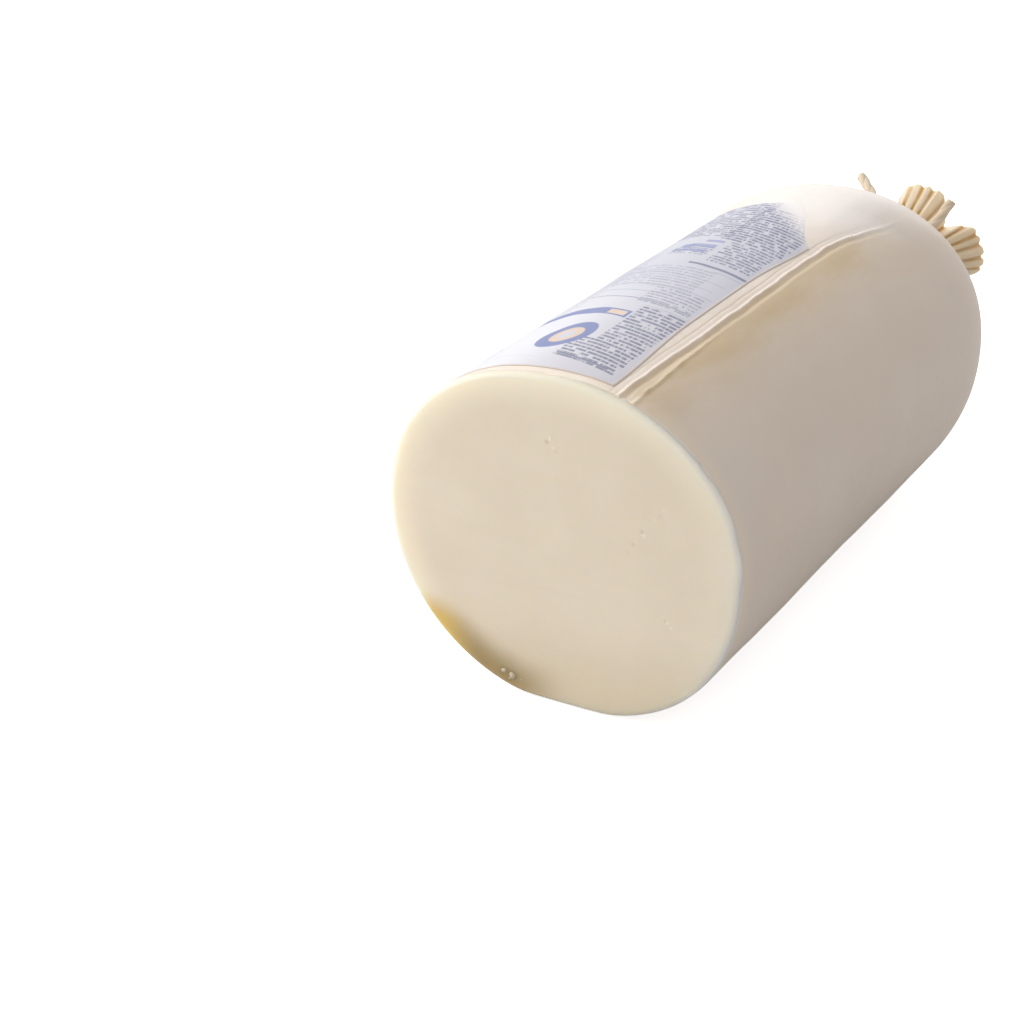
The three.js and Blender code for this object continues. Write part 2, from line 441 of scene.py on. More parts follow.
def seamNotches():
    rng = np.random.default_rng(seam["seed"])
    places = rng.uniform(4 * mm, 225 * mm, seam["notches"])
    return [(place, rng.uniform(0.2, 0.6), rng.uniform(0.7, 1.6) * mm) for place in places]


notches = seamNotches()


def seamLine(past):
    # how far right of the middle the seam's crest stands
    slow, quick = seam["wander"]
    wander = slow * softNoise(past / (45 * mm), 0.0, seam["seed"] + 1)
    wander = wander + quick * softNoise(past / (11 * mm), 0.0, seam["seed"] + 4)
    return seam["offset"] + seam["drift"] * smoothStep(*seam["driftOver"], past) + wander


def seamRelief(x, past):
    # the film's height over the plain log beside the seam, and how much warm tint and painted shade it
    # gets there
    uneven = 1 + 0.3 * softNoise(past / (12 * mm), 0.0, seam["seed"] + 2)
    for place, depth, width in notches:
        uneven = uneven - depth * hump(past, place, width)
    beside = x - seamLine(past)
    flank = np.where(beside < 0, seam["leftFlank"], seam["rightFlank"])
    bell = (0.5 + 0.5 * np.cos(math.pi * np.clip(beside / flank, -1, 1))) ** 1.3 * np.maximum(uneven, 0.15)
    groove = hump(beside, seam["groovePlace"], seam["grooveWidth"])
    farFold = smoothStep(0, seam["foldOver"], past)
    nearFold = 1 - smoothStep(30 * mm, seam["foldOver"], past)
    foldPlace = seam["foldPlace"][0] + (seam["foldPlace"][1] - seam["foldPlace"][0]) * farFold
    wrinkled = 1 + 0.8 * softNoise(past / (7 * mm), 0.0, seam["seed"] + 3)
    fold = hump(beside, foldPlace, seam["foldWidth"]) * nearFold * wrinkled
    edge = hump(beside, seam["edgePlace"], seam["edgeWidth"])
    fade = 1 - smoothStep(*seam["fadeOver"], past)
    height = (seam["height"] * bell - seam["grooveDepth"] * groove + seam["foldHeight"] * fold
              - seam["edgeStep"] * edge)
    broad = hump(beside, 5 * mm, 14 * mm) * smoothStep(0, 2.5 * mm, beside)
    seamTintShade = 0.55 * hump(beside, 3.4 * mm, 2.4 * mm) + 0.35 * edge + 1.1 * broad
    return height * fade, seamTintShade * fade


def filmAngles():
    # even angles round the log, close ones beside the seam
    crest = math.acos(seam["offset"] / logShape["above"])
    low, high = crest - math.radians(seam["closeBeside"][0]), crest + math.radians(seam["closeBeside"][1])
    plain, fine = (math.radians(step) for step in seam["steps"])
    even = [a for a in np.arange(0, tau, plain) if not low - 0.012 < a < high + 0.012]
    return np.sort(np.concatenate([even, np.arange(low, high, fine)]))


def filmLift(angles, past):
    # the seam and the film's own soft waves, which the dome pulls flat
    x, z = sectionPoints(angles)
    height, seamTintShade = seamRelief(x, past)
    calm = 1 - 0.75 * smoothStep(logShape["straight"], logLength - 20 * mm, past)
    waves = film["waves"] * softNoise(angles * 1.1, past / (90 * mm), 21)
    ripples = film["ripples"] * softNoise(angles * 6, past / (28 * mm), 22)
    free = smoothStep(0, 25 * mm, z + logShape["below"]) * calm
    return height * (z > 0) + (waves + ripples) * free, seamTintShade * (z > 0)


def routeRing(past, radius, angles):
    # a ring of the gathered end; near the crown it takes the log's own outline
    spread = float(smoothStep(gather["neck"], gather["rim"], radius))
    own = float(smoothStep(10 * mm, 24 * mm, radius)) if past < 2 * mm else 0.0
    centres = np.radians(gather["lobes"] + (gather["lobes"][0] + 360,))
    phase = np.interp((angles - centres[0]) % tau + centres[0], centres, tau * np.arange(len(centres)))
    cleft = (0.5 - 0.5 * np.cos(phase)) ** 3
    sway = spread if past > 2 * mm else 0.0
    reach = radius * (1 - gather["cleft"] * sway * cleft)
    x, z = sectionPoints(angles)
    size = radius / (70 * mm)
    px = (1 - own) * reach * np.cos(angles) + own * size * x + gather["lean"][0] * sway
    pz = (1 - own) * reach * np.sin(angles) + own * size * z + gather["lean"][1] * sway
    return np.stack([px, crownY + past + 0 * x, axisZ + pz], axis=1)


def buildCasing():
    angles = filmAngles()
    rings, seamTintShade, pleat, along = [], [], [], []

    def addRing(ring, seamTintShadeMask, depth, place):
        rings.append(ring)
        seamTintShade.append(seamTintShadeMask + 0 * angles)
        pleat.append(depth + 0 * angles)
        along.append(place + 0 * angles)

    inner = np.concatenate([[289, 275, 245], np.linspace(230, 20, 5), [6, 2.5]]) * mm
    for past in inner:
        addRing(logRing(past, angles, film["wall"]), 0.0, 0.0, past)
    for past, inset in ((1.9, 0.8), (1.75, 0.6), (1.75, 0.15), (1.85, 0.0)):
        lift, seamTintShadeMask = filmLift(angles, 0.0)
        addRing(logRing(past * mm, angles, inset * mm, lift), seamTintShadeMask, 0.0, past * mm)
    domeSteps = logShape["dome"] * np.sin(np.linspace(0, 0.872, 42) * math.pi / 2)
    steps = np.arange(3.5, 236, film["ringStep"]) * mm
    outer = np.concatenate([[2.3 * mm], steps, logShape["straight"] + domeSteps])
    for past in outer:
        lift, seamTintShadeMask = filmLift(angles, past)
        addRing(logRing(past, angles, 0.0, lift), seamTintShadeMask, 0.0, past)
    route = smoothPath(filmRoute, 4)
    for past, radius, depth in route:
        addRing(routeRing(past * mm, radius * mm, angles), 0.0, depth, logLength + past * mm)
    first, last = ((0, crownY + past, axisZ) for past in gather["ends"])
    piece = skinMesh("filmCasing", rings, first, last)

    # which way the pleats move the film: straight out at the neck, leaning back on the ruffle
    turn = np.tile(angles, len(rings))
    placeAlong = np.repeat([a[0] for a in along], len(angles)) - logLength
    lean = smoothStep(19 * mm, 45 * mm, placeAlong)
    outward = 1 - 0.35 * lean
    away = np.stack([np.cos(turn) * outward, -0.75 * lean, np.sin(turn) * outward], axis=1)
    onDome = (placeAlong < 1.5 * mm)[:, None]
    away = np.where(onDome, np.array([[0.0, 1.0, 0.0]]), away)
    storeValues(piece, "seamTintShadeMask", np.array(seamTintShade))
    storeValues(piece, "pleatDepth", np.array(pleat))
    storeValues(piece, "turn", turn)
    storeValues(piece, "alongLog", np.array(along))
    storeValues(piece, "foldWay", away, "FLOAT_VECTOR")
    return piece


def pleatTree():
    tree, given, result = newShaping("filmPleats", [
        ("Pleats", "Float", 38.0), ("Depth", "Float", 2.4 * mm), ("Unevenness", "Float", 0.5),
        ("Scallop", "Float", 1.8 * mm), ("Seed", "Float", 3.0)])
    turn, depth, along = (readField(tree, name) for name in ("turn", "pleatDepth", "alongLog"))
    cosine, sine = calc(tree, "COSINE", turn), calc(tree, "SINE", turn)
    circle = joinXyz(tree, cosine, sine, given["Seed"])
    wander = minus(tree, noiseField(tree, circle, 3.4, 1.0), 0.5)
    shift = times(tree, wander, times(tree, given["Unevenness"], 14.0))
    phase = times(tree, plus(tree, times(tree, turn, given["Pleats"]), shift), 0.5)
    crest = ramp(tree, calc(tree, "ABSOLUTE", calc(tree, "SINE", phase)), 0.0, 1.0)
    spread = joinXyz(tree, times(tree, cosine, 2.2), times(tree, sine, 2.2), times(tree, along, 26.0))
    lively = noiseField(tree, spread, 2.2, 1.0)
    height = times(tree, minus(tree, crest, 0.6), ramp(tree, lively, 0.3, 0.7, 0.35, 1.35))
    move = times(tree, times(tree, height, depth), given["Depth"])
    offset = calcVector(tree, "SCALE", readField(tree, "foldWay", "FLOAT_VECTOR"), scale=move)
    rim = ramp(tree, along, logLength + 36 * mm, logLength + 46 * mm)
    reach = times(tree, times(tree, minus(tree, crest, 0.75), rim), given["Scallop"])
    offset = calcVector(tree, "ADD", offset, joinXyz(tree, 0.0, reach, 0.0))
    shaped = newNode(tree, "GeometryNodeSetPosition", {"Geometry": given["Geometry"], "Offset": offset})
    store = newNode(tree, "GeometryNodeStoreNamedAttribute", {
        "Geometry": shaped.outputs[0], "Name": "valley",
        "Value": times(tree, minus(tree, 1.0, crest), depth)})
    endTree(tree, store.outputs[0], given, result)
    return tree


def endTree(tree, geometry, given, result):
    smooth = newNode(tree, "GeometryNodeSetShadeSmooth", {"Geometry": geometry})
    real = newNode(tree, "GeometryNodeRealizeInstances", {0: smooth.outputs[0]})
    dressed = newNode(tree, "GeometryNodeSetMaterial", {
        "Geometry": real.outputs[0], "Material": given["Material"]})
    feed(tree, result["Geometry"], dressed.outputs[0])


def grainGroup():
    # fine unevenness for any surface: a normal, and a slow blotch mask
    tree, given, result = newGroup("fineGrain", "ShaderNodeTree", [
        ("Vector", "Vector", None), ("Fine Scale", "Float", 900.0),
        ("Blotch Scale", "Float", 30.0), ("Strength", "Float", 0.2),
        ("Height", "Float", 0.0003)],
        [("Normal", "Vector"), ("Blotch", "Float"), ("Grain", "Float")])
    grain = noiseField(tree, given["Vector"], given["Fine Scale"], 3.0, 0.6)
    slow = noiseField(tree, given["Vector"], given["Blotch Scale"], 3.0, 0.55)
    bump = newNode(tree, "ShaderNodeBump", {
        "Strength": given["Strength"], "Distance": given["Height"],
        "Height": plus(tree, grain, times(tree, slow, 2.0))})
    feedAll(tree, result, {"Normal": bump.outputs[0], "Blotch": slow, "Grain": grain})
    return tree


fineGrain = grainGroup()

filmLook = {
    "plain": (0.725, 0.60, 0.50),
    "light": (0.75, 0.63, 0.53),
    "paleLipHighlight": (0.84, 0.80, 0.74),
    "nearCut": (0.83, 0.68, 0.52),
    "seamTintShade": (0.60, 0.44, 0.25),
    "cream": (0.84, 0.74, 0.57),
    "domeHighlight": (0.80, 0.75, 0.72),
    "paintedShade": (0.66, 0.53, 0.34),
    "paintedGolden": (0.60, 0.38, 0.13),
}


def filmMaterial():
    material, tree, shader, place = newMaterial("filmCasing", 0.38, 0.5)
    grain = placeGroup(tree, fineGrain, {"Vector": place, "Fine Scale": 240.0, "Blotch Scale": 16.0,
                                         "Strength": 0.10, "Height": 0.0006})
    colour = blend(tree, ramp(tree, grain["Blotch"], 0.35, 0.7), filmLook["plain"], filmLook["light"])
    # warm tint along the seam's right side, broken into blotches: partly the overlapped film's own tint,
    # partly painted shade on the seam's right flank and groove
    patches = noiseField(tree, calcVector(tree, "MULTIPLY", place, (1.0, 0.35, 1.0)), 95.0, 3.0, 0.6)
    tintAndShade = times(tree, readMask(tree, "seamTintShadeMask"), ramp(tree, patches, 0.3, 0.65, 0.6, 1.0), clamp=True)
    colour = blend(tree, times(tree, tintAndShade, 0.9), colour, filmLook["seamTintShade"])
    # the cut end and the gathered end are paler, with painted shade in the golden valleys between the
    # pleats
    x, _, z = splitXyz(tree, place)
    along = readMask(tree, "alongLog")
    colour = blend(tree, ramp(tree, along, 16 * mm, 1 * mm, 0.0, 0.6), colour, filmLook["nearCut"])
    # the film's cut lip is paler, with a painted highlight on the right side
    nearCut = ramp(tree, along, 3.4 * mm, 2.0 * mm)
    rightSide = ramp(tree, x, 0.02, 0.06, 0.15, 0.9)
    colour = blend(tree, times(tree, nearCut, rightSide), colour, filmLook["paleLipHighlight"])
    # painted highlight on the top of the dome
    domeHighlight = times(tree, ramp(tree, z, 0.114, 0.136), ramp(tree, along, 0.19, 0.235, 0.0, 0.8))
    colour = blend(tree, domeHighlight, colour, filmLook["domeHighlight"])
    gathered = ramp(tree, along, logLength - 1 * mm, logLength + 8 * mm)
    colour = blend(tree, gathered, colour, filmLook["cream"])
    # painted shade: golden valleys between the pleats, and a golden base towards the ruffle's root
    valley = ramp(tree, readMask(tree, "valley"), 0.08, 0.75)
    folds = noiseField(tree, place, 75.0, 2.0)
    valley = times(tree, valley, ramp(tree, folds, 0.35, 0.62, 0.55, 1.0))
    # painted shade on the right side of the gathered end
    shaded = ramp(tree, x, 0.012, 0.034, 0.0, 0.45)
    colour = blend(tree, times(tree, shaded, gathered), colour, filmLook["paintedShade"])
    base = ramp(tree, along, logLength + 46 * mm, logLength + 24 * mm, 0.0, 0.35)
    valley = calc(tree, "MAXIMUM", valley, base)
    colour = blend(tree, times(tree, valley, gathered), colour, filmLook["paintedGolden"])
    # the clear film lets the lamps reach the paste behind it, which glows through at its rim
    shadow = tree.nodes.new("ShaderNodeLightPath").outputs["Is Shadow Ray"]
    feedAll(tree, shader, {
        "Base Color": colour,
        "Normal": grain["Normal"],
        "Roughness": ramp(tree, grain["Grain"], 0.2, 0.8, 0.30, 0.42),
        "Subsurface Weight": ramp(tree, gathered, 0.0, 1.0, 0.25, 0.7),
        "Subsurface Radius": (1.0, 0.8, 0.6),
        "Subsurface Scale": 0.003,
        "Alpha": ramp(tree, shadow, 0.0, 1.0, 1.0, 0.12, False),
    })
    return material


filmSurface = filmMaterial()
casingPiece = runNodes(buildCasing(), pleatTree(), {**film["pleats"], "Material": filmSurface})
finishPiece(casingPiece, "casing", filmSurface)
print("film casing:", len(casingPiece.data.polygons), "faces")


# the cheese
paste = {
    "inset": 0.83 * mm,
    "shoulderInset": 0.14 * mm,
    "shoulder": (2.4 * mm, 2.0 * mm),    # how far the rounded edge of the cut goes in and back
    "rings": 66,
    "wave": 0.10 * mm,
    "streak": 0.03 * mm,                 # what the blade left, on a slant
    "marks": 60,
    "reach": (70 * mm, 66 * mm),         # how far the face runs from its middle, across and up
    "markWidth": 1.2,
    "markDepth": 0.3,
    "seed": 12,
}
# marks in the cut face, in millimetres: right of the middle, height, radius and strength,
# where a minus is a torn lip
faceMarks = [
    (-5.4, 110.6, 1.1, 0.7), (-4.2, 112.3, 0.9, -1.0), (-2.9, 108.8, 1.0, -0.4), (-2.0, 107.3, 0.9, 0.3),
    (34.6, 83.2, 1.0, 0.6), (35.2, 85.4, 0.9, -0.4), (35.7, 81.8, 1.0, -0.55), (31.1, 77.4, 0.9, 0.45),
    (32.4, 78.8, 0.8, -0.3), (28.6, 73.6, 1.2, 0.2), (39.9, 89.2, 1.3, -0.25), (41.7, 91.4, 1.2, 0.2),
    (43.6, 94.2, 1.4, -0.2), (37.5, 92.0, 1.1, 0.15), (45.1, 48.9, 0.8, 0.5), (46.2, 48.1, 0.8, -0.6),
    (47.7, 46.4, 0.8, -0.5), (-1.5, 97.0, 1.0, 0.15), (-14.0, 88.0, 1.3, 0.12), (12.0, 60.0, 1.2, 0.12),
]
pasteLook = {
    "plain": (0.795, 0.70, 0.565),
    "pale": (0.83, 0.74, 0.61),
    "rim": (0.93, 0.84, 0.68),
    "edge": (0.86, 0.80, 0.73),
    "paintedGolden": (0.70, 0.50, 0.17),
    "paintedBrownShadow": (0.42, 0.31, 0.15),
    "pitShade": (0.56, 0.46, 0.31),
    "lipHighlight": (0.96, 0.91, 0.80),
    "smear": (0.77, 0.675, 0.535),
    "low": (0.735, 0.625, 0.455),
}


def buildCheese():
    angles = np.arange(0, tau, math.radians(1.0))
    rng = np.random.default_rng(paste["seed"])
    marks = [(x * mm, z * mm, paste["markWidth"] * radius * mm, paste["markDepth"] * depth * mm)
             for x, z, radius, depth in faceMarks]
    across, up = paste["reach"]
    for _ in range(paste["marks"]):
        turn, out = rng.uniform(0, tau), math.sqrt(rng.uniform(0.02, 0.93))
        marks.append((out * across * math.cos(turn), 70 * mm + out * up * math.sin(turn),
                      rng.uniform(0.35, 0.7) * mm, rng.uniform(0.08, 0.3) * mm))
    rings, depthIn = [], []
    for past in np.array([292, 285, 270, 250, 239, 180, 120, 60, 20, 6]) * mm:
        rings.append(logRing(past, angles, paste["inset"]))
        depthIn.append(0.0)
    outline = logRing(0.0, angles, paste["shoulderInset"])
    rings.append(logRing(2.9 * mm, angles, paste["shoulderInset"]))
    depthIn.append(0.0)
    centre = np.array([0, cutY, logShape["below"] - logShape["settle"]])
    (bevel, setBack), steps = paste["shoulder"], 8
    for i in range(steps + 1):
        swing = i / steps * math.pi / 2
        inward, back = bevel * (1 - math.cos(swing)), setBack * (1 - math.sin(swing))
        ring = outline + (centre - outline) * inward / np.linalg.norm(outline - centre, axis=1)[:, None]
        ring[:, 1] += back
        rings.append(ring)
        depthIn.append(inward)
    face = rings[-1]
    for share in np.linspace(0, 1, paste["rings"], endpoint=False)[1:]:
        ring = face + (centre - face) * share
        rings.append(ring)
        depthIn.append(bevel + share * across)
    first = len(rings) - paste["rings"]
    for ring in rings[first:]:
        x, z = ring[:, 0], ring[:, 2]
        sunk = paste["wave"] * softNoise(x / (60 * mm), z / (50 * mm), 5)
        down, over = x * 0.5 + z * 0.87, z * 0.5 - x * 0.87
        sunk = sunk + paste["streak"] * softNoise(down / (7 * mm), over / (80 * mm), 6)
        for markX, markZ, radius, depth in marks:
            sunk = sunk + depth * np.exp(-(((x - markX) ** 2 + (z - markZ) ** 2) / radius ** 2) ** 1.3)
        ring[:, 1] += sunk
    # from the middle of the face outwards, round the edge and back to the crown
    middle = tuple(rings[-1].mean(axis=0))
    piece = skinMesh("cheesePaste", rings[::-1], middle, (0, crownY - 2.2 * mm, axisZ))
    storeValues(piece, "rimDepth", np.repeat(depthIn[::-1], len(angles)))
    return piece


def marksGroup():
    # small pits and torn lips at the places listed: two masks
    tree, given, result = newGroup("knifeMarks", "ShaderNodeTree", [("Vector", "Vector", None)],
                                   [("Pit", "Float"), ("Lip", "Float")])
    x, y, z = splitXyz(tree, given["Vector"])
    ragged = times(tree, minus(tree, noiseField(tree, given["Vector"], 900.0, 2.0), 0.5), 1.6 * mm)
    onFace = ramp(tree, y, cutY + 3 * mm, cutY + 2 * mm)
    total = {"Pit": 0.0, "Lip": 0.0}
    for markX, markZ, radius, strength in faceMarks:
        out = joinXyz(tree, minus(tree, x, markX * mm), 0.0, minus(tree, z, markZ * mm))
        away = plus(tree, calcVector(tree, "LENGTH", out), ragged)
        spot = ramp(tree, away, radius * mm, 0.25 * radius * mm, 0.0, abs(strength))
        kind = "Pit" if strength > 0 else "Lip"
        total[kind] = plus(tree, total[kind], spot)
    for kind in total:
        feed(tree, result[kind], times(tree, total[kind], onFace, clamp=True))
    return tree


knifeMarks = marksGroup()


def pasteMaterial():
    material, tree, shader, place = newMaterial("cheesePaste", 0.42, 0.45)
    grain = placeGroup(tree, fineGrain, {"Vector": place, "Fine Scale": 420.0, "Blotch Scale": 22.0,
                                         "Strength": 0.16, "Height": 0.0006})
    colour = blend(tree, ramp(tree, grain["Blotch"], 0.3, 0.7), pasteLook["plain"], pasteLook["pale"])
    # faint smears that the knife left, on a slant across the face
    spin = newNode(tree, "ShaderNodeMapping", {
        "Vector": place, "Rotation": (0, math.radians(28), 0), "Scale": (9.0, 1.0, 120.0)})
    smear = ramp(tree, noiseField(tree, spin.outputs[0], 1.0, 3.0, 0.55, 0.3), 0.5, 0.75)
    colour = blend(tree, times(tree, smear, 0.35), colour, pasteLook["smear"])
    # painted glow of light coming through the paste near its rim, most at the top left
    x, _, z = splitXyz(tree, place)
    depth = readMask(tree, "rimDepth")
    topLeft = ramp(tree, minus(tree, z, x), -0.03, 0.11, 0.1, 1.0)
    paintedGlow = times(tree, ramp(tree, depth, 17 * mm, 0.0), topLeft)
    colour = blend(tree, times(tree, paintedGlow, 0.9), colour, pasteLook["rim"])
    # painted shade: darker and yellower towards the foot
    colour = blend(tree, ramp(tree, z, 0.045, 0.0, 0.0, 0.75), colour, pasteLook["low"])
    # painted shadow, golden and then brown, along the lower left edge
    footShadow = times(tree, ramp(tree, depth, 19 * mm, 4 * mm), ramp(tree, x, 0.008, -0.024))
    footShadow = times(tree, footShadow, ramp(tree, z, 0.036, 0.024))
    shadowTone = blend(tree, ramp(tree, x, -0.034, -0.052), pasteLook["paintedBrownShadow"], pasteLook["paintedGolden"])
    colour = blend(tree, footShadow, colour, shadowTone)
    # painted highlight: the very edge is paler on the right, where it catches light
    edge = times(tree, ramp(tree, depth, 2.4 * mm, 0.4 * mm), ramp(tree, x, 0.02, 0.06, 0.0, 0.75))
    colour = blend(tree, edge, colour, pasteLook["edge"])
    marks = placeGroup(tree, knifeMarks, {"Vector": place})
    # painted shade in the pits and painted highlight on the torn lips
    colour = blend(tree, times(tree, marks["Pit"], 0.6), colour, pasteLook["pitShade"])
    colour = blend(tree, times(tree, marks["Lip"], 0.75), colour, pasteLook["lipHighlight"])
    relief = newNode(tree, "ShaderNodeBump", {
        "Strength": 0.35, "Distance": 0.5 * mm, "Normal": grain["Normal"],
        "Height": minus(tree, marks["Lip"], marks["Pit"])})
    feedAll(tree, shader, {
        "Base Color": colour,
        "Normal": relief.outputs[0],
        "Roughness": ramp(tree, grain["Grain"], 0.25, 0.75, 0.36, 0.52),
        "Subsurface Weight": 1.0,
        "Subsurface Radius": (1.0, 0.85, 0.6),
        "Subsurface Scale": 0.009,
    })
    return material


cheesePiece = buildCheese()
finishPiece(cheesePiece, "cheese", pasteMaterial())
print("cheese:", len(cheesePiece.data.polygons), "faces")


# a few crumbs that the knife tore at the foot of the face
crumbs = {
    # right of the middle, height and radius, in millimetres
    "places": [(-20.3, 6.9, 1.5), (-24.1, 8.4, 1.3), (-21.6, 5.4, 0.9), (-16.4, 6.1, 0.8)],
    "behindCut": 0.85 * mm,
    "torn": {"Roughness": 0.5, "Seed": 4},
    "colour": (0.60, 0.51, 0.37, 1),
}


def crumbTree():
    tree, given, result = newShaping("tornCrumbs", [("Roughness", "Float", 0.5), ("Seed", "Int", 4)])
    ball = newNode(tree, "GeometryNodeMeshIcoSphere", {"Radius": 1.0, "Subdivisions": 4})
    turn = tree.nodes.new("FunctionNodeRandomValue")
    turn.data_type = "FLOAT_VECTOR"
    for socket in turn.inputs:
        if socket.name == "Max" and socket.type == "VECTOR":
            socket.default_value = (tau, tau, tau)
    feed(tree, turn.inputs["Seed"], given["Seed"])
    spread = newNode(tree, "GeometryNodeInstanceOnPoints", {
        "Points": given["Geometry"], "Instance": ball.outputs[0], "Rotation": turn.outputs[0],
        "Scale": readField(tree, "crumbSize")})
    real = newNode(tree, "GeometryNodeRealizeInstances", {0: spread.outputs[0]})
    place = tree.nodes.new("GeometryNodeInputPosition").outputs[0]
    normal = tree.nodes.new("GeometryNodeInputNormal").outputs[0]
    bumps = minus(tree, noiseField(tree, place, 420.0), 0.5)
    move = times(tree, times(tree, bumps, given["Roughness"]), 2.4 * mm)
    torn = newNode(tree, "GeometryNodeSetPosition", {
        "Geometry": real.outputs[0], "Offset": calcVector(tree, "SCALE", normal, scale=move)})
    endTree(tree, torn.outputs[0], given, result)
    return tree


def buildCrumbs():
    mesh = bpy.data.meshes.new("faceCrumbs")
    y = cutY + crumbs["behindCut"]
    mesh.from_pydata([(x * mm, y, z * mm) for x, z, _ in crumbs["places"]], [], [])
    piece = addObject("faceCrumbs", mesh)
    storeValues(piece, "crumbSize", [size * mm for _, _, size in crumbs["places"]])
    return piece


crumbSurface, _, crumbShader, _ = newMaterial("crumbPaste", 0.6, 0.25)
crumbShader["Base Color"].default_value = crumbs["colour"]
crumbPiece = runNodes(buildCrumbs(), crumbTree(), {**crumbs["torn"], "Material": crumbSurface})
finishPiece(crumbPiece, None, crumbSurface)
print("crumbs:", len(crumbPiece.data.polygons), "faces")


# the label
label = {
    "from": 7 * mm,
    "toRight": 188 * mm,
    "toLeft": 236 * mm,
    "slantOver": 0.3,
    "leftAngle": math.radians(162),
    "rightGap": (4.2 * mm, 3.4 * mm),   # from its right edge to the seam: at the ends, and more between
    "lift": 0.05 * mm,
    "thickness": 0.05 * mm,
    "columns": 90,
    "rows": 110,
    "printRadius": 67,                  # millimetres of print for each radian round the log
    "dip": 0.22 * mm,                   # the far end's last strip lies this much into the film
    "farFade": (196.0, 218.0),          # where its far end fades into the dome's painted highlight colour, in millimetres
    "borderFade": (2.2, 0.2),
}
printLook = {
    "sheet": (0.525, 0.51, 0.565),
    "light": (0.68, 0.675, 0.725),
    "paintedShade": (0.42, 0.42, 0.50),
    "ink": (0.085, 0.09, 0.19),
    "blue": (0.085, 0.125, 0.36),
    "tan": (0.62, 0.47, 0.36),
    "grey": (0.27, 0.275, 0.37),
}


def buildLabel():
    shares = np.linspace(0, 1, label["columns"])
    slant = np.minimum(1, shares / label["slantOver"])
    eased = slant * slant * (3 - 2 * slant) * 0.3 + slant * 0.7
    ends = label["toRight"] + (label["toLeft"] - label["toRight"]) * eased
    points, places = [], []
    for layer in range(2):
        for row in np.linspace(0, 1, label["rows"]):
            past = label["from"] + (ends - label["from"]) * row
            bulge = smoothStep(5 * mm, 80 * mm, past) * (1 - smoothStep(130 * mm, 190 * mm, past))
            gap = label["rightGap"][0] + label["rightGap"][1] * bulge
            edge = seam["offset"] + seam["drift"] * smoothStep(*seam["driftOver"], past) - gap
            right = np.arccos(edge / logShape["above"])
            angles = right + (label["leftAngle"] - right) * shares
            sunk = label["dip"] * smoothStep(0.96, 1.0, row)
            lift = filmLift(angles, past)[0] + label["lift"] + label["thickness"] * layer - sunk
            points += logRing(past, angles, 0.0, lift).tolist()
            nearEnd = np.minimum(past - label["from"], ends - past) / mm
            border = np.minimum((angles - right) * label["printRadius"], nearEnd)
            across = (math.pi / 2 - angles) * label["printRadius"]
            places += np.stack([across, past / mm, border], axis=1).tolist()
    rows, columns = label["rows"], label["columns"]
    layerSize = rows * columns
    faces = []
    for i in range(rows - 1):
        for j in range(columns - 1):
            a, b = i * columns + j, (i + 1) * columns + j
            faces.append((a, b, b + 1, a + 1))
            faces.append((layerSize + a, layerSize + a + 1, layerSize + b + 1, layerSize + b))
    edges = ([(0, j) for j in range(columns)] + [(i, columns - 1) for i in range(1, rows)]
             + [(rows - 1, j) for j in range(columns - 2, -1, -1)]
             + [(i, 0) for i in range(rows - 2, 0, -1)])
    for (i, j), (k, m) in zip(edges, edges[1:] + edges[:1]):
        a, b = i * columns + j, k * columns + m
        faces.append((a, b, layerSize + b, layerSize + a))
    mesh = bpy.data.meshes.new("labelSheet")
    mesh.from_pydata(points, [], faces)
    mesh.shade_smooth()
    piece = addObject("labelSheet", mesh)
    storeValues(piece, "printPlace", places, "FLOAT_VECTOR")
    return piece


def rowsGroup():
    # rows of small dashes, like lines of fine print with no letters
    tree, given, result = newGroup("dashRows", "ShaderNodeTree", [
        ("Place", "Vector", None), ("Pitch", "Float", 3.0),
        ("Weight", "Float", 0.4), ("Slant", "Float", 0.3), ("Left", "Float", 0.0),
        ("Right", "Float", 1.0), ("Near", "Float", 0.0), ("Far", "Float", 1.0),
        ("Seed", "Float", 0.0)], [("Mask", "Float")])
    x, y, _ = splitXyz(tree, given["Place"])
    level = plus(tree, y, times(tree, x, given["Slant"]))
    rowPlace = calc(tree, "DIVIDE", level, given["Pitch"])
    row = calc(tree, "FLOOR", rowPlace)
    inRow = calc(tree, "ABSOLUTE", minus(tree, minus(tree, rowPlace, row), 0.5))
    half = times(tree, given["Weight"], 0.5)
    stripe = ramp(tree, inRow, plus(tree, half, 0.12), minus(tree, half, 0.10))
    strokes = noiseField(tree, joinXyz(tree, x, times(tree, row, 7.3), given["Seed"]), 1.15, 1.0)
    words = noiseField(tree, joinXyz(tree, x, times(tree, row, 3.1), given["Seed"]), 0.33, 1.0)
    inked = times(tree, ramp(tree, strokes, 0.30, 0.52, 0.25, 1.0), ramp(tree, words, 0.36, 0.42))
    # the block's own four sides, its row ends ragged
    ragged = noiseField(tree, joinXyz(tree, row, given["Seed"], 0.0), 1.7, 0.0)
    rightEnd = minus(tree, given["Right"], times(tree, ragged, 3.0))
    inside = times(tree, between(tree, x, given["Left"], rightEnd),
                   between(tree, level, given["Near"], given["Far"]))
    feed(tree, result["Mask"], times(tree, times(tree, stripe, inked), inside))
    return tree


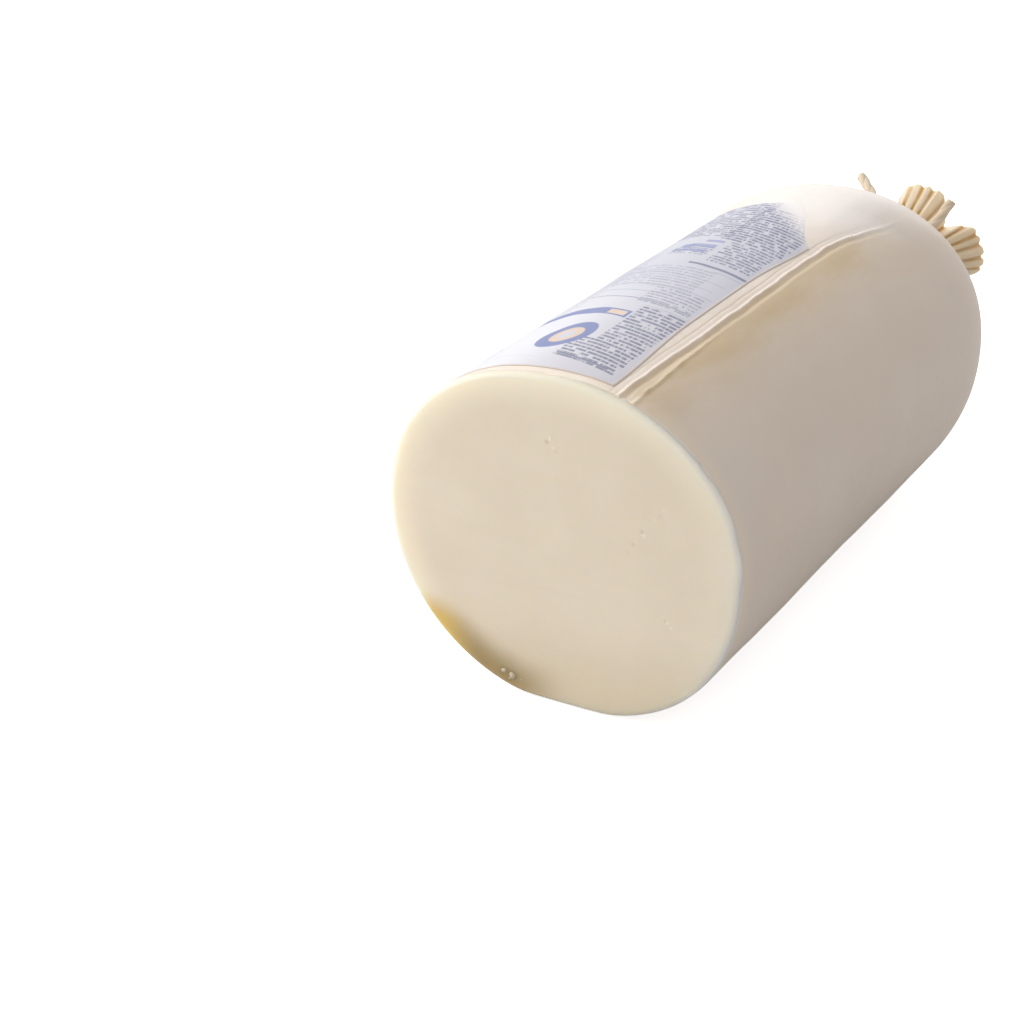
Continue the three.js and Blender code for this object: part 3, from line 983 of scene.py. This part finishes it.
# blocks of dashes: row pitch, weight, slant, left, right, near, far and how dark, in millimetres
dashBlocks = [
    (2.9, 0.60, 0.26, -16, 15, 17, 40, 0.9), (2.9, 0.58, 0.22, -8, 15, 40, 82, 0.9),
    (2.9, 0.45, 0.28, -15, 13, 84, 104, 0.6), (2.7, 0.58, 0.34, -12, 14, 140, 168, 0.9),
    (2.8, 0.62, 0.34, -20, 16, 168, 216, 1.0), (2.8, 0.55, 0.30, -50, -14, 172, 240, 0.95),
    (2.5, 0.60, 0.30, -36, -14, 146, 158, 0.7), (3.0, 0.50, 0.24, -44, 2, 104, 132, 0.4),
    (3.2, 0.45, 0.28, -60, -38, 60, 150, 0.35),
    (3.0, 0.50, 0.26, -80, -46, 12, 32, 0.7), (2.8, 0.50, 0.28, -80, -64, 52, 118, 0.6),
    (2.9, 0.50, 0.28, -80, -56, 140, 186, 0.6),
]
# thin lines across the sheet: how far along at the middle, slant, left, right, width and how dark
printLines = [
    (135.5, 0.33, -18, 14, 2.1, 0.95), (131.8, 0.33, -2, 14, 0.8, 0.7), (87, 0.28, -40, 12, 0.8, 0.75),
    (97, 0.25, -44, 12, 0.8, 0.7), (105.5, 0.25, -46, 12, 0.8, 0.7), (113, 0.25, -46, 8, 0.7, 0.65),
    (121, 0.28, -46, 10, 0.7, 0.65), (20.5, 0.26, -15, 10, 1.3, 0.9), (12.5, 0.26, -50, -20, 0.4, 0.3),
]
# an oval ring: its middle, half sizes across and along, and turn in degrees
oval = {"middle": (-21.5, 44.0), "half": (8.8, 15.5), "turn": math.radians(-14)}
# broad bars: their middles, and half sizes across and along
bars = [(-27, 159, 9, 1.7), (-23, 165, 7, 2.2), (-20, 171, 5, 1.4), (-31, 166, 3, 2.6)]
# a broad curved band with a tan tip: where it peaks, its bend, then half width, left and right of each
bow = {"middle": -26.0, "along": 74.5, "bend": -0.012,
       "band": (3.8, -47.0, -9.0), "tip": (2.4, -19.0, -10.5)}


def labelMaterial():
    material, tree, shader, _ = newMaterial("printedLabel", 0.4, 0.4)
    place = readMask(tree, "printPlace", vector=True)
    x, y, border = splitXyz(tree, place)
    grain = placeGroup(tree, fineGrain, {"Vector": place, "Fine Scale": 0.6, "Blotch Scale": 0.05,
                                         "Strength": 0.05, "Height": 0.0005})
    # painted highlight: the sheet is lighter towards its left
    colour = blend(tree, ramp(tree, x, 2.0, -38.0), printLook["sheet"], printLook["light"])
    # painted shade: the sheet is darker towards its far end
    colour = blend(tree, ramp(tree, y, 30.0, 150.0, 0.0, 0.75), colour, printLook["paintedShade"])
    rows = rowsGroup()
    for seed, (pitch, weight, slant, left, right, near, far, dark) in enumerate(dashBlocks):
        mask = placeGroup(tree, rows, {"Place": place, "Pitch": pitch, "Weight": weight, "Slant": slant,
                                       "Left": left, "Right": right, "Near": near, "Far": far,
                                       "Seed": seed * 5.3})["Mask"]
        colour = blend(tree, times(tree, mask, dark), colour, printLook["ink"])
    for middle, slant, left, right, width, dark in printLines:
        level = calc(tree, "ABSOLUTE", minus(tree, plus(tree, y, times(tree, x, slant)), middle))
        mask = times(tree, ramp(tree, level, width * 0.65, width * 0.35), between(tree, x, left, right))
        tone = printLook["ink" if dark > 0.7 else "grey"]
        colour = blend(tree, times(tree, mask, dark), colour, tone)
    c, s = math.cos(oval["turn"]), math.sin(oval["turn"])
    dx, dy = minus(tree, x, oval["middle"][0]), minus(tree, y, oval["middle"][1])
    u = calc(tree, "DIVIDE", plus(tree, times(tree, dx, c), times(tree, dy, s)), oval["half"][0])
    v = calc(tree, "DIVIDE", minus(tree, times(tree, dy, c), times(tree, dx, s)), oval["half"][1])
    out = calcVector(tree, "LENGTH", joinXyz(tree, u, v))
    for share, tone in ((1.0, "blue"), (0.57, "tan"), (0.29, "sheet")):
        colour = blend(tree, ramp(tree, out, share + 0.03, share - 0.03), colour, printLook[tone])
    for midX, midY, halfX, halfY in bars:
        dx = minus(tree, x, midX)
        tilted = plus(tree, minus(tree, y, midY), times(tree, dx, 0.3))
        bar = times(tree, ramp(tree, calc(tree, "ABSOLUTE", tilted), halfY + 0.3, halfY - 0.3),
                    ramp(tree, calc(tree, "ABSOLUTE", dx), halfX + 0.4, halfX - 0.4))
        colour = blend(tree, times(tree, bar, 0.7), colour, printLook["blue"])
    across = calc(tree, "ABSOLUTE", minus(tree, x, bow["middle"]))
    peak = times(tree, calc(tree, "POWER", across, 2.0), bow["bend"])
    level = calc(tree, "ABSOLUTE", minus(tree, minus(tree, y, bow["along"]), peak))
    for part, tone in (("band", "blue"), ("tip", "tan")):
        half, left, right = bow[part]
        mask = times(tree, ramp(tree, level, half + 0.2, half - 0.2), between(tree, x, left, right))
        colour = blend(tree, mask, colour, printLook[tone])
    # the sheet's far end fades into the dome's painted highlight colour, and its border into the film's
    # own colour
    farEnd = plus(tree, y, times(tree, x, 1.2))
    farFade = ramp(tree, farEnd, *label["farFade"], 0.0, 0.9)
    colour = blend(tree, farFade, colour, filmLook["domeHighlight"])
    borderFade = ramp(tree, border, *label["borderFade"], 0.0, 0.85)
    colour = blend(tree, borderFade, colour, filmLook["light"])
    feedAll(tree, shader, {"Base Color": colour, "Normal": grain["Normal"]})
    return material


labelPiece = buildLabel()
finishPiece(labelPiece, "label", labelMaterial())
print("label:", len(labelPiece.data.polygons), "faces")


# the tie cord
cord = {
    "strands": 3,
    "strandRadius": 1.78 * mm,
    "strandOffset": 0.62 * mm,
    "lay": 24 * mm,
    "pitch": 5 * mm,
    "turns": 2,
    "neckMiddle": 12 * mm,
    "wrapRadius": 11.2 * mm,
    "wrapFrom": 82,                     # degrees
    "pointsPerTurn": 40,
    "step": 0.6 * mm,
    "light": (0.80, 0.68, 0.53),
    "dark": (0.70, 0.56, 0.41),
    # the tails and the knot: millimetres past the crown, millimetres from the axis, degrees round it
    "leftTail": [(12, 15.5, 78), (14, 16.5, 92), (20, 22, 97), (33, 32, 115), (45, 42.3, 126.5)],
    "rightTail": [(11, 16.0, 90), (14, 15.5, 70), (22, 19, 62), (33, 27, 52), (41, 38, 55)],
    "knot": [(9, 13, 66), (15.5, 15, 72), (17.5, 17.5, 84), (13, 19.5, 94), (8, 17.5, 88),
             (6.8, 15, 76), (10, 17, 66), (15, 18.5, 74)],
}


def onNeck(past, radius, angle):
    turn = math.radians(angle)
    return Vector((radius * mm * math.cos(turn), crownY + past * mm, axisZ + radius * mm * math.sin(turn)))


def curvePiece(name, paths):
    data = bpy.data.curves.new(name, "CURVE")
    data.dimensions = "3D"
    for path in paths:
        spline = data.splines.new("POLY")
        spline.points.add(len(path) - 1)
        for point, place in zip(spline.points, path):
            point.co = (*place, 1)
    return addObject(name, data)


def twistTree():
    tree, given, result = newShaping("twistedCord", [
        ("Strands", "Int", 3), ("Strand Radius", "Float", 1 * mm), ("Strand Offset", "Float", 1 * mm),
        ("Lay", "Float", 15 * mm), ("Step", "Float", 0.6 * mm)])
    even = tree.nodes.new("GeometryNodeResampleCurve")
    even.mode = "LENGTH"
    feedAll(tree, even.inputs, {"Curve": given["Geometry"], "Length": given["Step"]})
    copies = tree.nodes.new("GeometryNodeDuplicateElements")
    copies.domain = "SPLINE"
    feedAll(tree, copies.inputs, {"Geometry": even.outputs[0], "Amount": given["Strands"]})
    length = tree.nodes.new("GeometryNodeSplineParameter").outputs["Length"]
    share = calc(tree, "DIVIDE", copies.outputs["Duplicate Index"], given["Strands"])
    phase = times(tree, plus(tree, calc(tree, "DIVIDE", length, given["Lay"]), share), tau)
    normal = tree.nodes.new("GeometryNodeInputNormal").outputs[0]
    tangent = tree.nodes.new("GeometryNodeInputTangent").outputs[0]
    side = calcVector(tree, "CROSS_PRODUCT", tangent, normal)
    offset = calcVector(tree, "ADD", calcVector(tree, "SCALE", normal, scale=calc(tree, "COSINE", phase)),
                        calcVector(tree, "SCALE", side, scale=calc(tree, "SINE", phase)))
    moved = newNode(tree, "GeometryNodeSetPosition", {
        "Geometry": copies.outputs["Geometry"],
        "Offset": calcVector(tree, "SCALE", offset, scale=given["Strand Offset"])})
    ring = newNode(tree, "GeometryNodeCurvePrimitiveCircle", {
        "Resolution": 12, "Radius": given["Strand Radius"]})
    tube = newNode(tree, "GeometryNodeCurveToMesh", {
        "Curve": moved.outputs[0], "Profile Curve": ring.outputs["Curve"], "Fill Caps": True})
    endTree(tree, tube.outputs[0], given, result)
    return tree


def cordMaterial():
    material, tree, shader, place = newMaterial("cottonCord", 0.75, 0.3)
    grain = placeGroup(tree, fineGrain, {"Vector": place, "Fine Scale": 2600.0, "Blotch Scale": 160.0,
                                         "Strength": 0.5, "Height": 0.0004})
    colour = blend(tree, ramp(tree, grain["Grain"], 0.3, 0.7), cord["dark"], cord["light"])
    feedAll(tree, shader, {
        "Base Color": colour,
        "Normal": grain["Normal"],
        "Subsurface Weight": 0.3,
        "Subsurface Radius": (1.0, 0.9, 0.8),
        "Subsurface Scale": 0.001,
    })
    return material


def buildCord():
    start = cord["neckMiddle"] - cord["pitch"] * cord["turns"] / 2
    wrap = []
    for step in range(cord["turns"] * cord["pointsPerTurn"] + 1):
        share = step / cord["pointsPerTurn"]
        past, angle = start + cord["pitch"] * share, cord["wrapFrom"] + 360 * share
        wrap.append(onNeck(past / mm, cord["wrapRadius"] / mm, angle))
    paths = [wrap]
    for name in ("leftTail", "rightTail", "knot"):
        paths.append([Vector(p) for p in smoothPath([onNeck(*p) for p in cord[name]], 10)])
    return curvePiece("tieCordKnot", paths)


cordSurface = cordMaterial()
cordPiece = runNodes(buildCord(), twistTree(), {
    "Strands": cord["strands"], "Strand Radius": cord["strandRadius"],
    "Strand Offset": cord["strandOffset"], "Lay": cord["lay"], "Step": cord["step"],
    "Material": cordSurface})
finishPiece(cordPiece, "tie_cord", cordSurface)
print("tie cord:", len(cordPiece.data.polygons), "faces")
